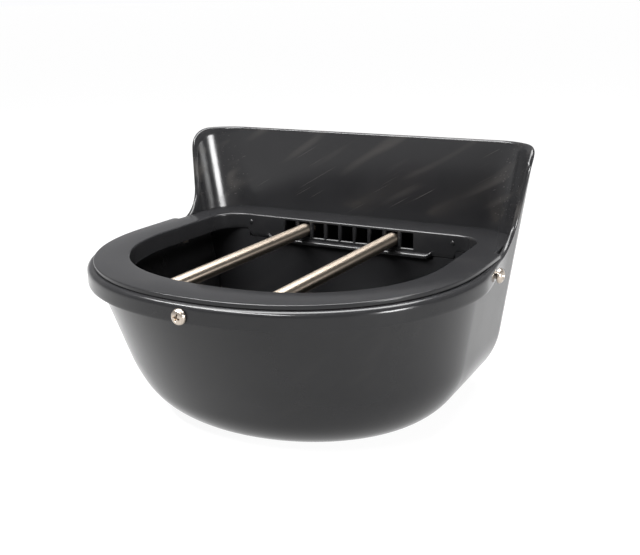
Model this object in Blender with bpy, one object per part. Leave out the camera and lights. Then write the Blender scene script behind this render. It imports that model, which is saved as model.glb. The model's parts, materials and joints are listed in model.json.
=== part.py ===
"""Wall-hung livestock water bowl with a float valve.

A moulded D-shaped bowl with a tall splash wall carries a screwed-on rim plate. Two steel guard bars lie
under the plate. Behind the slotted face at the back of the opening, and behind a guard that stands below
it, a float valve keeps the water level. A bung in the floor lets the bowl be emptied. The bowl stands on
z = 0, the wall side is +Y and the drinking side is -Y.
"""

from math import atan, cos, pi, radians, sin, sqrt

import bmesh
import bpy
from mathutils import Matrix, Vector

# ---------------------------------------------------------------- driving dimensions (metres)
RIM_Z = 0.1365            # top of the rim plate
TOP_Z = 0.2145            # top of the splash wall
BACK_Y = 0.1471           # outer plane of the back
WIDE_Y = 0.0156           # where the straight sides meet the rounded front

WALL = 0.004              # wall thickness of the bowl
SIDE_HALF = 0.1610        # half width of the bowl just under its rim band
FRONT_REACH = 0.1500      # how far the front wall reaches from WIDE_Y, just under the band
SIDE_DRAFT = 0.156        # slope of the sides
FRONT_DRAFT = 0.42        # slope of the front
FRONT_INSET = 1.08        # level thickness of the sloping front wall, in wall thicknesses
SIDE_FILLET = 0.064       # bottom radius along the sides
FRONT_FILLET = 0.046      # bottom radius along the front
BACK_FILLET = 0.012       # bottom radius along the back
CORNER = 0.042            # upright corners at the back
TAPER = 0.039             # the sides close in towards the back by this much
ROUND_TOP = 2.16          # power of the outline at the rim
ROUND_BASE = 2.0          # power of the outline at the base

BAND_HALF = 0.1694        # thick rim band
BAND_REACH = 0.1585
BAND_HEIGHT = 0.0185
BAND_FADE = (-0.010, 0.075)   # the band dies into the side wall between these distances behind WIDE_Y
SHOULDER = 0.003          # rounded top edge of the band

WING_FOOT = 0.053         # where the side wings start to rise, behind WIDE_Y
WING_LEAN = 0.18          # slope of the wing's front edge
WING_LOW_R = 0.034        # radius at the foot of the wing
WING_TOP_R = 0.024        # radius at the top of the wing

PLATE = 0.0035            # thickness of the rim plate
PLATE_HALF = 0.1635
PLATE_REACH = 0.1540
PLATE_END = 0.050         # the plate's overhanging sides end here, behind WIDE_Y
OPEN_HALF = 0.1347        # drinking opening
OPEN_REACH = 0.1215
OPEN_ROUND = 2.27
OPEN_BACK = 0.0939        # front edge of the shelf, behind WIDE_Y
OPEN_CORNER = 0.024
SKIRT = 0.003             # wall that hangs from the plate round the opening
SKIRT_DROP = 0.015
FACE_DROP = 0.0215        # the same wall at the back, where it is slotted

SLOT_PITCH = 0.015
SLOT_WIDTH = 0.012
SLOT_TOP = 0.0028         # below the top of the plate
SLOT_SILL = 0.0168
SLOTS = 9

LIP_HALF = 0.085          # rolled lip along the foot of the slotted face
LIP_REACH = 0.005         # how far it stands forward of the face
LIP_DROP = (0.0190, 0.0245)
TAB_HALF = 0.009          # half width of the blocks under the plate that take bars and screws
BAR_TAB = (-0.1055, -0.1015)
BAR_TAB_DROP = 0.020
SIDE_LUG_DROP = 0.021
LUG_DEEP = 0.009

BAR_R = 0.006
BAR_X = 0.045
BAR_DROP = 0.0105         # bar axis below the top of the plate
BAR_Y = (-0.1230, 0.1216)
BAR_CHAMFER = 0.0008

SCREW_HEAD_R = 0.006
SCREW_HEAD = 0.004
SCREW_R = 0.0029
SCREW_HOLE_R = 0.0033
SCREW_TIP = 0.0015        # how far a screw stands out of its nut
RECESS = (0.0026, 0.0006, 0.0016)   # half length, half width and depth of the cross recess
NUT_FLATS = 0.010
NUT_THICK = 0.005
FRONT_SCREW_DROP = 0.013
SIDE_SCREW_DROP = 0.014
SIDE_SCREW_Y = 0.036      # behind WIDE_Y

GUARD_Y = (0.1098, 0.1120)    # the guard in front of the valve
GUARD_MOUTH = (0.050, 0.018)  # half width and top of the water way under it
GUARD_STEP = 0.1058       # the guard is lower under the face, between these distances

VALVE_Y = 0.1122          # valve axis, behind WIDE_Y
VALVE_DROP = 0.032        # valve axis below the top of the plate
BOSS_R = 0.0154
BOSS_X = (-0.1575, -0.1240)
THREAD_R = 0.01045
THREAD_PITCH = 0.001814
THREAD_DEEP = 0.0011
THREAD_END = -0.1703
INLET_R = 0.0060
FLANGE_R = 0.0135
FLANGE = 0.0035
WASHER = 0.0020
LOCKNUT_FLATS = 0.027
LOCKNUT = 0.0050
SEAT_R = (0.0020, 0.0055)

# distances along the valve axis from the inner face of the boss
SEAT_X = 0.0105
SEAL_X = 0.0141
ARMS_X = (0.0245, 0.0420)
BODY_X = 0.0285
PISTON_X = 0.0290
NOSE_X = 0.0322
PIVOT_X = BOSS_X[1] + 0.0365

BODY_R = (0.0058, 0.0100)
ARMS_Y = (0.0062, 0.0092)     # inner and outer side of the fork's arms
ARMS_Z = (-0.0150, 0.0065)
SEAL = (0.0052, 0.0030)       # radius and thickness
PISTON_R = 0.0054
NOSE_R = 0.0025
PIN_R = 0.0020
PIN_HALF = 0.0105
PIVOT_BELOW = 0.009       # lever pivot below the valve axis
DROOP = radians(20)       # lever angle with the bowl empty
HUB = (0.0050, 0.0056)    # radius and half length
THUMB = (0.0040, 0.0035, 0.0110)
LEVER_R = 0.0025
LEVER_LONG = 0.150
FLOAT_SPAN = (0.058, 0.142)   # along the lever, from the pivot
FLOAT_DEEP = 0.022
FLOAT_HIGH = 0.032
FLOAT_ROUND = 0.005
FLOAT_NUT = (0.0046, 0.0040)  # corner radius and thickness

DRAIN_Y = -0.010          # behind WIDE_Y
DRAIN_R = 0.0130
DRAIN_SEAL = (0.0172, 0.0020)
BUNG_CAP = (0.0170, 0.0040)
GRIP = (0.0080, 0.0020, 0.0180)
EYE_R = 0.0035
HANG_X = 0.095            # wall-fixing holes
HANG_DROP = 0.018
HANG_R = 0.0045

GAP = 0.0003              # clearance between touching pieces

# ---------------------------------------------------------------- helpers


def clear_scene():
    for thing in list(bpy.data.objects):
        bpy.data.objects.remove(thing, do_unlink=True)


def material(name, colour, roughness, metallic=0.0):
    made = bpy.data.materials.new(name)
    made.use_nodes = True
    shader = made.node_tree.nodes["Principled BSDF"]
    shader.inputs["Base Color"].default_value = (*colour, 1.0)
    shader.inputs["Roughness"].default_value = roughness
    shader.inputs["Metallic"].default_value = metallic
    return made


def add_object(name, mesh, finish=None, smooth=True):
    made = bpy.data.objects.new(name, mesh)
    bpy.context.scene.collection.objects.link(made)
    if finish:
        mesh.materials.append(finish)
    if smooth:
        mesh.shade_smooth()
        mesh.set_sharp_from_angle(angle=radians(35))
    return made


def mesh_of(name, shape):
    bmesh.ops.recalc_face_normals(shape, faces=shape.faces)
    mesh = bpy.data.meshes.new(name)
    shape.to_mesh(mesh)
    shape.free()
    return mesh


def loft(name, rows):
    """A closed solid through rows of points, each a list of (x, y, z) with the same count."""
    shape = bmesh.new()
    loops = [[shape.verts.new(point) for point in row] for row in rows]
    count = len(rows[0])
    for low, high in zip(loops, loops[1:]):
        for i in range(count):
            j = (i + 1) % count
            shape.faces.new((low[i], low[j], high[j], high[i]))
    shape.faces.new(list(reversed(loops[0])))
    shape.faces.new(loops[-1])
    return mesh_of(name, shape)


def prism(name, outline, low, high):
    """A flat outline of (x, y) points raised from one height to another."""
    return loft(name, [[(x, y, z) for x, y in outline] for z in (low, high)])


def block(name, low, high, bevel=0.0):
    shape = bmesh.new()
    bmesh.ops.create_cube(shape, size=1.0)
    size = Vector(high) - Vector(low)
    middle = (Vector(high) + Vector(low)) / 2
    bmesh.ops.scale(shape, vec=size, verts=shape.verts)
    bmesh.ops.translate(shape, vec=middle, verts=shape.verts)
    if bevel:
        edges = list(shape.edges)
        bmesh.ops.bevel(shape, geom=edges, offset=bevel, segments=3, profile=0.5, affect="EDGES")
    return mesh_of(name, shape)


TURNS = {"X": Matrix.Rotation(pi / 2, 4, "Y"), "Y": Matrix.Rotation(-pi / 2, 4, "X"), "Z": Matrix()}


def hexagon(corner, start=0.0):
    """Corners of a hexagon, the first at an angle start."""
    return [(corner * cos(pi / 3 * i + start), corner * sin(pi / 3 * i + start)) for i in range(6)]


def turned(name, profile, axis="Z", centre=(0, 0, 0), steps=32):
    """A solid turned from (radius, height) points; the first and last lie on the axis or close a ring."""
    shape = bmesh.new()
    ring = profile[0][0] > 0 and profile[-1][0] > 0
    loops = []
    for radius, height in profile:
        if radius <= 0:
            loops.append([shape.verts.new((0, 0, height))])
            continue
        turn = [2 * pi * i / steps for i in range(steps)]
        loops.append([shape.verts.new((radius * cos(a), radius * sin(a), height)) for a in turn])
    pairs = list(zip(loops, loops[1:]))
    if ring:
        pairs.append((loops[-1], loops[0]))
    for one, two in pairs:
        for i in range(steps):
            j = (i + 1) % steps
            corners = [one[i % len(one)], one[j % len(one)], two[j % len(two)], two[i % len(two)]]
            shape.faces.new(list(dict.fromkeys(corners)))
    turn = TURNS[axis]
    bmesh.ops.transform(shape, matrix=Matrix.Translation(centre) @ turn, verts=shape.verts)
    return mesh_of(name, shape)


def rod(name, radius, start, length, steps=32, axis="Z", chamfer=0.0):
    """A straight round bar of a length, along an axis through start."""
    profile = [(0, 0), (radius - chamfer, 0), (radius, chamfer)]
    profile += [(radius, length - chamfer), (radius - chamfer, length), (0, length)]
    if not chamfer:
        profile = [(0, 0), (radius, 0), (radius, length), (0, length)]
    return turned(name, profile, axis, start, steps)


def change(target, operation, *meshes):
    """Joins meshes to the target, or cuts them away, with exact Booleans that are applied."""
    for number, mesh in enumerate(meshes):
        tool = add_object(f"{target.name}_tool", mesh, smooth=False)
        step = target.modifiers.new(f"{operation.lower()}_{number}", "BOOLEAN")
        step.operation = operation
        step.object = tool
        bpy.context.view_layer.update()
        graph = bpy.context.evaluated_depsgraph_get()
        result = bpy.data.meshes.new_from_object(target.evaluated_get(graph))
        target.modifiers.clear()
        target.data = result
        bpy.data.objects.remove(tool, do_unlink=True)
    target.data.shade_smooth()
    target.data.set_sharp_from_angle(angle=radians(35))
    return target


def smoothstep(t):
    t = min(max(t, 0.0), 1.0)
    return t * t * (3 - 2 * t)


# ---------------------------------------------------------------- outlines

FRONT_STEPS = 40
SIDE_STEPS = 5
CORNER_STEPS = 8


def d_outline(half, reach, power, back, corner, taper=TAPER):
    """A D seen from above: rounded front, straight sides that close in a little, round back corners."""
    points = []
    for i in range(FRONT_STEPS + 1):
        a = pi * i / FRONT_STEPS
        x = -half * (1 if cos(a) > 0 else -1) * abs(cos(a)) ** (2 / power)
        points.append((x, WIDE_Y - reach * abs(sin(a)) ** (2 / power)))
    corner_y = back - corner
    side = []
    for i in range(1, SIDE_STEPS + 1):
        y = WIDE_Y + (corner_y - WIDE_Y) * i / SIDE_STEPS
        side.append((half - taper * (y - WIDE_Y), y))
    centre_x = side[-1][0] - corner
    for i in range(1, CORNER_STEPS + 1):
        a = pi / 2 * i / CORNER_STEPS
        side.append((centre_x + corner * cos(a), corner_y + corner * sin(a)))
    points += side
    points += [(-x, y) for x, y in reversed(side)]
    return points


def wall_at(width, slope, fillet, height):
    """Distance of a wall that leans in by slope and turns into the floor by a fillet, at a height."""
    top = RIM_Z - BAND_HEIGHT
    lean = atan(slope)
    tangent = fillet - fillet * sin(lean)
    centre = width + slope * (tangent - top) - fillet * cos(lean)
    if height >= tangent:
        return width + slope * (height - top)
    return centre + sqrt(max(fillet**2 - (fillet - height) ** 2, 0.0))


def bowl_row(height, inset=0.0):
    """The bowl's outline at a height, moved inwards by inset, without its band."""
    level = min(height, RIM_Z)
    along = max((RIM_Z - BAND_HEIGHT - level) / (RIM_Z - BAND_HEIGHT), 0)
    power = ROUND_TOP + (ROUND_BASE - ROUND_TOP) * along
    over = max(height - inset, 0.0)
    half = wall_at(SIDE_HALF - inset, SIDE_DRAFT, SIDE_FILLET - inset, over)
    reach = wall_at(FRONT_REACH - inset * FRONT_INSET, FRONT_DRAFT, FRONT_FILLET - inset, min(over, RIM_Z))
    below = max(BACK_FILLET - over, 0.0)
    back = BACK_Y - inset - (BACK_FILLET - sqrt(BACK_FILLET**2 - below**2))
    return [(x, y, height) for x, y in d_outline(half, reach, power, back, CORNER - inset)]


def band_share(y):
    """1 where the band stands out in full, 0 where it has died into the side wall."""
    return 1 - smoothstep((y - WIDE_Y - BAND_FADE[0]) / (BAND_FADE[1] - BAND_FADE[0]))


def band_row(height, offset):
    """The bowl's outline with the rim band added, pulled in by offset at its rounded top edge."""
    plain = bowl_row(height)
    band = d_outline(BAND_HALF - offset, BAND_REACH - offset, ROUND_TOP, BACK_Y, CORNER)
    row = []
    for (x, y, z), (band_x, band_y) in zip(plain, band):
        share = band_share(y)
        row.append((x + (band_x - x) * share, y + (band_y - y) * share, z))
    return row


def wing_profile():
    """Side view (y, z) of the wing's edge: a foot curve, a leaning front and a rounded top."""
    base = RIM_Z - PLATE - GAP
    lean = atan(WING_LEAN)
    turn = pi / 2 - lean
    points = []
    foot = (WIDE_Y + WING_FOOT, base + WING_LOW_R)
    for i in range(9):
        a = turn * i / 8
        points.append((foot[0] + WING_LOW_R * sin(a), foot[1] - WING_LOW_R * cos(a)))
    rise_y, rise_z = points[-1]
    top_z = TOP_Z - WING_TOP_R * (1 - sin(lean))
    start_y = rise_y + (top_z - rise_z) * WING_LEAN
    head = (start_y + WING_TOP_R * cos(lean), TOP_Z - WING_TOP_R)
    for i in range(9):
        a = pi - lean + (pi / 2 - (pi - lean)) * i / 8
        points.append((head[0] + WING_TOP_R * cos(a), head[1] + WING_TOP_R * sin(a)))
    return points


def opening_outline(grow=0.0):
    back = WIDE_Y + OPEN_BACK + grow
    return d_outline(OPEN_HALF + grow, OPEN_REACH + grow, OPEN_ROUND, back, OPEN_CORNER + grow, taper=0.03)


def inner_x(y, height):
    """Distance of the bowl's inner side from the middle, at a distance y and a height."""
    right = [point for point in bowl_row(height, WALL) if point[0] > 0 and point[1] > WIDE_Y]
    for (x0, y0, _), (x1, y1, _) in zip(right, right[1:]):
        if y0 <= y <= y1:
            return x0 + (x1 - x0) * (y - y0) / (y1 - y0)
    raise ValueError("the bowl has no side wall there")


def side_face(y, height):
    """Outer face of the band at the right side, for a distance y and a height."""
    plain = wall_at(SIDE_HALF, SIDE_DRAFT, SIDE_FILLET, height)
    return plain + (BAND_HALF - plain) * band_share(y) - TAPER * (y - WIDE_Y)


# ---------------------------------------------------------------- materials

clear_scene()
BLACK = material("moulded_black", (0.018, 0.018, 0.019), 0.32)
STEEL = material("stainless_steel", (0.62, 0.60, 0.56), 0.3, 1.0)
BRASS = material("brass", (0.70, 0.50, 0.22), 0.3, 1.0)
RUBBER = material("rubber", (0.02, 0.02, 0.02), 0.75)
WHITE = material("acetal_white", (0.75, 0.75, 0.72), 0.4)
BLUE = material("float_blue", (0.06, 0.18, 0.42), 0.4)
GREY = material("bung_grey", (0.10, 0.10, 0.11), 0.6)

# ---------------------------------------------------------------- bowl

BAND_Z = RIM_Z - BAND_HEIGHT
SEAT_Z = RIM_Z - PLATE - GAP
SHOULDER_Z = SEAT_Z - SHOULDER
VALVE_Z = RIM_Z - VALVE_DROP
INSIDE_Z = [WALL, WALL + 0.0015, 0.0090, 0.015, 0.024, 0.036, 0.052, 0.075, 0.110]


def make_bowl():
    heights = [0.0, 0.0012, 0.0045, 0.010, 0.018, 0.029, 0.044, 0.062, 0.090, BAND_Z - 0.0012]
    rows = [bowl_row(z) for z in heights]
    rows.append(band_row(BAND_Z, 0.0))
    rows.append(band_row(SHOULDER_Z, 0.0))
    for a in (pi / 6, pi / 3, pi / 2):
        rows.append(band_row(SHOULDER_Z + SHOULDER * sin(a), SHOULDER * (1 - cos(a))))
    above = [SEAT_Z + 0.0015, 0.165, 0.190, TOP_Z]
    rows += [bowl_row(z) for z in above]
    bowl = add_object("bowl", loft("bowl", rows), BLACK)

    hollow = loft("hollow", [bowl_row(z, WALL) for z in INSIDE_Z + [SEAT_Z, 0.165, TOP_Z + WALL]])

    profile = wing_profile()
    front = -0.25
    outline = [(front, profile[0][1])] + profile + [(profile[-1][0], 0.30), (front, 0.30)]
    wings = loft("wing_cut", [[(x, y, z) for y, z in outline] for x in (-0.25, 0.25)])
    change(bowl, "DIFFERENCE", hollow, wings)

    boss_y = WIDE_Y + VALVE_Y
    boss = rod("boss", BOSS_R, (BOSS_X[0], boss_y, VALVE_Z), BOSS_X[1] - BOSS_X[0], 40, "X")
    change(bowl, "UNION", boss)
    inlet = rod("inlet_hole", THREAD_R + GAP, (-0.20, boss_y, VALVE_Z), 0.10, 32, "X")
    drain = rod("drain_hole", DRAIN_R, (0, WIDE_Y + DRAIN_Y, -0.01), 0.03)
    side_start = (-0.2, WIDE_Y + SIDE_SCREW_Y, RIM_Z - SIDE_SCREW_DROP)
    across = rod("side_hole", SCREW_HOLE_R, side_start, 0.4, 20, "X")
    ahead = rod("front_hole", SCREW_HOLE_R, (0, -0.2, RIM_Z - FRONT_SCREW_DROP), 0.1, 20, "Y")
    hangs = [
        rod("hang_hole", HANG_R, (x, BACK_Y - 0.02, RIM_Z - HANG_DROP), 0.04, 20, "Y")
        for x in (-HANG_X, HANG_X)
    ]
    change(bowl, "DIFFERENCE", inlet, drain, across, ahead, *hangs)


# ---------------------------------------------------------------- rim plate


PLATE_TAPER = 0.02
STEP = 0.002              # small chamfer where the overhang ends
FACE_HALF = 0.105


def plate_outline():
    """The plate rests on the rim in front and passes inside the wings behind PLATE_END."""
    back = BACK_Y - WALL - GAP
    outer = d_outline(PLATE_HALF, PLATE_REACH, ROUND_TOP, back, CORNER - WALL, PLATE_TAPER)
    front = [point for point in outer if point[1] <= WIDE_Y]
    end = WIDE_Y + PLATE_END
    inner_start = end + 2 * STEP
    arc = [point[:2] for point in bowl_row(RIM_Z - PLATE, WALL + GAP) if point[1] > inner_start]
    right = PLATE_HALF - PLATE_TAPER * PLATE_END
    inside = arc[0][0] + TAPER * (arc[0][1] - inner_start)
    step = [(right, end - STEP), (right - STEP, end), (inside, end + STEP / 4), (inside, inner_start)]
    return front + step + arc + [(-x, y) for x, y in reversed(step)]


def front_lug_y():
    """Outer face of the front lug, just inside the sloping front wall at the lug's lower edge."""
    height = RIM_Z - BAR_TAB_DROP - WALL
    inside = wall_at(FRONT_REACH - WALL * FRONT_INSET, FRONT_DRAFT, FRONT_FILLET, height)
    return WIDE_Y - inside + 4 * GAP


def side_lug_x():
    """Outer face of the side lugs, just inside the leaning side wall."""
    inside = wall_at(SIDE_HALF - WALL, SIDE_DRAFT, SIDE_FILLET, RIM_Z - SIDE_LUG_DROP - WALL)
    return inside - TAPER * (SIDE_SCREW_Y + TAB_HALF) - 3 * GAP


def make_rim_plate():
    plate = add_object("rim_plate", prism("rim_plate", plate_outline(), RIM_Z - PLATE, RIM_Z), BLACK)
    root = RIM_Z - PLATE / 2
    face_y = WIDE_Y + OPEN_BACK
    skirt = prism("skirt", opening_outline(SKIRT), RIM_Z - SKIRT_DROP, root)
    face = block("face", (-FACE_HALF, face_y, RIM_Z - FACE_DROP), (FACE_HALF, face_y + SKIRT, root))
    lip_low = (-LIP_HALF, face_y - LIP_REACH, RIM_Z - LIP_DROP[1])
    lip = block("lip", lip_low, (LIP_HALF, face_y + SKIRT - GAP, RIM_Z - LIP_DROP[0]), 0.0018)
    tabs = [
        block("tab", (x - TAB_HALF, BAR_TAB[0], RIM_Z - BAR_TAB_DROP), (x + TAB_HALF, BAR_TAB[1], root))
        for x in (-BAR_X, BAR_X)
    ]
    change(plate, "UNION", skirt)
    opening = prism("opening", opening_outline(), RIM_Z - 0.05, RIM_Z + 0.01)
    change(plate, "DIFFERENCE", opening)
    change(plate, "UNION", face, lip, *tabs)

    lug_y = front_lug_y()
    low = (-TAB_HALF, lug_y, RIM_Z - BAR_TAB_DROP)
    lug = block("front_lug", low, (TAB_HALF, lug_y + LUG_DEEP, root))
    reach = side_lug_x()
    mid = WIDE_Y + SIDE_SCREW_Y
    sides = []
    for low_x, high_x in ((reach - LUG_DEEP, reach), (-reach, LUG_DEEP - reach)):
        low = (low_x, mid - TAB_HALF, RIM_Z - SIDE_LUG_DROP)
        sides.append(block("side_lug", low, (high_x, mid + TAB_HALF, root)))
    change(plate, "UNION", lug, *sides)

    cuts = []
    for i in range(SLOTS):
        x = (i - (SLOTS - 1) / 2) * SLOT_PITCH
        low = (x - SLOT_WIDTH / 2, face_y - 0.01, RIM_Z - SLOT_SILL)
        cuts.append(block("slot", low, (x + SLOT_WIDTH / 2, face_y + 0.01, RIM_Z - SLOT_TOP)))
    bar_z = RIM_Z - BAR_DROP
    for x in (-BAR_X, BAR_X):
        cuts.append(rod("bar_hole", BAR_R + GAP, (x, -0.12, bar_z), 0.03, 28, "Y"))
        cuts.append(rod("bar_hole", BAR_R + GAP, (x, face_y - 0.01, bar_z), 0.02, 28, "Y"))
    cuts.append(rod("hole", SCREW_HOLE_R, (0, -0.16, RIM_Z - FRONT_SCREW_DROP), 0.045, 20, "Y"))
    for x in (-0.17, 0.142):
        cuts.append(rod("hole", SCREW_HOLE_R, (x, mid, RIM_Z - SIDE_SCREW_DROP), 0.028, 20, "X"))
    change(plate, "DIFFERENCE", *cuts)


# ---------------------------------------------------------------- guard bars and fixings


def make_bars():
    for name, x in (("guard_bar_left", -BAR_X), ("guard_bar_right", BAR_X)):
        start = (x, BAR_Y[0], RIM_Z - BAR_DROP)
        mesh = rod(name, BAR_R, start, BAR_Y[1] - BAR_Y[0], 28, "Y", BAR_CHAMFER)
        add_object(name, mesh, STEEL)


def screw(name, shank):
    """Pan head with a cross recess, its top at the origin and its shank running along +X."""
    dome = [(0, 0), (0.0022, 0.0001), (0.0040, 0.0006), (0.0053, 0.0015), (SCREW_HEAD_R, 0.0030)]
    tip = SCREW_HEAD + shank
    neck = [(SCREW_HEAD_R, SCREW_HEAD), (SCREW_R, SCREW_HEAD), (SCREW_R, tip), (0, tip)]
    made = add_object(name, turned(name, dome + neck, "X", steps=24), STEEL)
    long, thin, deep = RECESS
    slots = [block("recess", (-0.002, -a, -b), (deep, a, b)) for a, b in ((long, thin), (thin, long))]
    return change(made, "DIFFERENCE", *slots)


def hex_nut(name, start, axis):
    """A nut whose first face is at start, bored along its axis."""
    mesh = prism(name, hexagon(NUT_FLATS / sqrt(3), pi / 6), 0, NUT_THICK)
    mesh.transform(Matrix.Translation(start) @ TURNS[axis])
    along = Vector((1, 0, 0)) if axis == "X" else Vector((0, 1, 0))
    hole = rod("nut_hole", SCREW_R + GAP / 2, Vector(start) - along * 0.01, 0.03, 20, axis)
    change(add_object(name, mesh, STEEL), "DIFFERENCE", hole)


def make_fixings():
    z = RIM_Z - FRONT_SCREW_DROP
    face = WIDE_Y - BAND_REACH - GAP
    nut_y = front_lug_y() + LUG_DEEP + GAP
    front = screw("front_screw", nut_y + NUT_THICK + SCREW_TIP - face)
    front.data.transform(Matrix.Translation((0, face - SCREW_HEAD, z)) @ Matrix.Rotation(pi / 2, 4, "Z"))
    hex_nut("front_nut", (0, nut_y, z), "Y")

    z = RIM_Z - SIDE_SCREW_DROP
    y = WIDE_Y + SIDE_SCREW_Y
    face = max(side_face(y - SCREW_HEAD_R, z + SCREW_HEAD_R), side_face(y - SCREW_HEAD_R, z)) + GAP
    lug = side_lug_x() - LUG_DEEP - GAP
    shank = face - (lug - NUT_THICK - SCREW_TIP)
    for side, name in ((1, "right"), (-1, "left")):
        made = screw(f"{name}_screw", shank)
        turn = Matrix.Rotation(pi, 4, "Z") if side > 0 else Matrix()
        made.data.transform(Matrix.Translation((side * (face + SCREW_HEAD), y, z)) @ turn)
        hex_nut(f"{name}_nut", (lug - NUT_THICK if side > 0 else -lug, y, z), "X")


# ---------------------------------------------------------------- guard in front of the valve


def make_guard():
    """A flat plate that stands on the floor under the slotted face and fills the bowl from side to side."""
    low = WALL + GAP
    side_top = RIM_Z - SKIRT_DROP - GAP
    face_top = RIM_Z - FACE_DROP - GAP
    lip_top = RIM_Z - LIP_DROP[1] - GAP
    edge = [(inner_x(GUARD_Y[1], z) - 2 * GAP, max(z, low)) for z in INSIDE_Z + [side_top]]
    mouth_half, mouth_top = GUARD_MOUTH
    right = [(mouth_half, mouth_top), (mouth_half, low)] + edge
    lip_end = LIP_HALF + GAP
    right += [(GUARD_STEP, side_top), (GUARD_STEP, face_top), (lip_end, face_top), (lip_end, lip_top)]
    outline = right + [(-x, z) for x, z in reversed(right)]
    rows = [[(x, y, z) for x, z in outline] for y in GUARD_Y]
    add_object("valve_guard", loft("valve_guard", rows), BLACK)


# ---------------------------------------------------------------- float valve


def valve_place():
    """The valve axis, at the inner face of its boss."""
    return Vector((BOSS_X[1], WIDE_Y + VALVE_Y, VALVE_Z))


def on_valve_axis(name, profile, finish, steps=32):
    return add_object(name, turned(name, profile, "X", valve_place(), steps), finish)


def ring_profile(hole, radius, low, high):
    return [(hole, low), (radius, low), (radius, high), (hole, high)]


def make_inlet():
    """Threaded fitting, washer and locknut; distances run from the inner face of the boss."""
    start = THREAD_END - BOSS_X[1]
    outer_face = BOSS_X[0] - BOSS_X[1]
    crest = THREAD_R - GAP
    root = crest - THREAD_DEEP
    flange = WASHER + 2 * GAP
    lead = start + THREAD_DEEP
    outer = [(INLET_R, start), (root, start), (crest, lead)]
    for i in range(int((outer_face - lead) / THREAD_PITCH)):
        x = lead + i * THREAD_PITCH
        outer += [(crest, x + THREAD_PITCH / 4), (root, x + THREAD_PITCH * 3 / 4)]
    outer += [(crest, outer_face), (crest, flange), (FLANGE_R, flange), (FLANGE_R, flange + FLANGE)]
    outer += [(SEAT_R[1], flange + FLANGE), (SEAT_R[1], SEAT_X), (SEAT_R[0], SEAT_X)]
    inner = [(SEAT_R[0], flange), (INLET_R, flange - INLET_R / 2)]
    on_valve_axis("inlet_fitting", outer + inner, BRASS)
    on_valve_axis("inlet_washer", ring_profile(THREAD_R + GAP, FLANGE_R, GAP, GAP + WASHER), RUBBER)

    x, y, z = valve_place()
    nut_start = BOSS_X[0] - GAP - LOCKNUT
    mesh = prism("inlet_locknut", hexagon(LOCKNUT_FLATS / sqrt(3)), 0, LOCKNUT)
    mesh.transform(Matrix.Translation((nut_start, y, z)) @ TURNS["X"])
    nut = add_object("inlet_locknut", mesh, BRASS)
    change(nut, "DIFFERENCE", rod("nut_hole", THREAD_R, (nut_start - 0.01, y, z), 0.03, 32, "X"))


def make_valve_body():
    """A sleeve round the seat, with a fork that carries the lever's pin."""
    x, y, z = valve_place()
    low = WASHER + FLANGE + 3 * GAP
    body = on_valve_axis("valve_body", ring_profile(BODY_R[0], BODY_R[1], low, BODY_X), WHITE)
    arms = []
    for inner, outer in (ARMS_Y, (-ARMS_Y[1], -ARMS_Y[0])):
        corner = (x + ARMS_X[0], y + inner, z + ARMS_Z[0])
        arms.append(block("arm", corner, (x + ARMS_X[1], y + outer, z + ARMS_Z[1]), 0.0008))
    change(body, "UNION", *arms)
    hole = rod("pin_hole", PIN_R + GAP / 2, (PIVOT_X, y - 0.02, z - PIVOT_BELOW), 0.04, 20, "Y")
    change(body, "DIFFERENCE", hole)


def make_piston():
    seal_r, seal_thick = SEAL
    soft = 0.0004
    end = SEAL_X + seal_thick
    rounded = [(0, SEAL_X), (seal_r - soft, SEAL_X), (seal_r, SEAL_X + soft)]
    rounded += [(seal_r, end - soft), (seal_r - soft, end), (0, end)]
    on_valve_axis("piston_seal", rounded, RUBBER, 28)
    back = end + GAP
    points = [(0, back), (PISTON_R, back), (PISTON_R, PISTON_X)]
    points += [(NOSE_R, PISTON_X), (NOSE_R, NOSE_X), (0, NOSE_X)]
    on_valve_axis("valve_piston", points, WHITE, 28)


def make_lever():
    """The lever hangs by DROOP with the bowl empty; every piece has its origin on the pivot."""
    place = Vector((PIVOT_X, WIDE_Y + VALVE_Y, VALVE_Z - PIVOT_BELOW))
    pin = rod("lever_pin", PIN_R, place - Vector((0, PIN_HALF, 0)), 2 * PIN_HALF, 20, "Y", GAP)
    add_object("lever_pin", pin, STEEL)
    pivot = bpy.data.objects.new("float_pivot", None)
    bpy.context.scene.collection.objects.link(pivot)
    pivot.location = place
    droop = Matrix.Rotation(DROOP, 4, "Y")

    hub_r, hub_half = HUB
    lever = add_object("lever_arm", rod("hub", hub_r, (0, -hub_half, 0), 2 * hub_half, 24, "Y"), STEEL)
    wide, deep, high = THUMB
    thumb = block("thumb", (-wide, -deep, 0.0), (wide, deep, high), 0.0004)
    arm = rod("arm", LEVER_R, (0, 0, 0), LEVER_LONG, 16, "X")
    arm.transform(droop)
    change(lever, "UNION", thumb, arm)
    change(lever, "DIFFERENCE", rod("pin_hole", PIN_R + GAP, (0, -0.01, 0), 0.02, 20, "Y"))
    lever.parent = pivot

    low = (FLOAT_SPAN[0], -FLOAT_DEEP / 2, -FLOAT_HIGH / 2)
    high = (FLOAT_SPAN[1], FLOAT_DEEP / 2, FLOAT_HIGH / 2)
    float_body = add_object("float", block("float", low, high, FLOAT_ROUND), BLUE)
    change(float_body, "DIFFERENCE", rod("bore", LEVER_R + GAP, (0.04, 0, 0), 0.12, 16, "X"))
    float_body.data.transform(droop)
    float_body.parent = pivot

    corner, thick = FLOAT_NUT
    stop = FLOAT_SPAN[0] - thick - GAP
    end = FLOAT_SPAN[1] + GAP
    for name, at in (("float_stop_nut", stop), ("float_end_nut", end)):
        mesh = prism(name, hexagon(corner), 0, thick)
        mesh.transform(Matrix.Translation((at, 0, 0)) @ TURNS["X"])
        nut = add_object(name, mesh, BRASS)
        change(nut, "DIFFERENCE", rod("nut_hole", LEVER_R + GAP / 2, (at - 0.01, 0, 0), 0.03, 16, "X"))
        nut.data.transform(droop)
        nut.parent = pivot


# ---------------------------------------------------------------- drain bung


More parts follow.
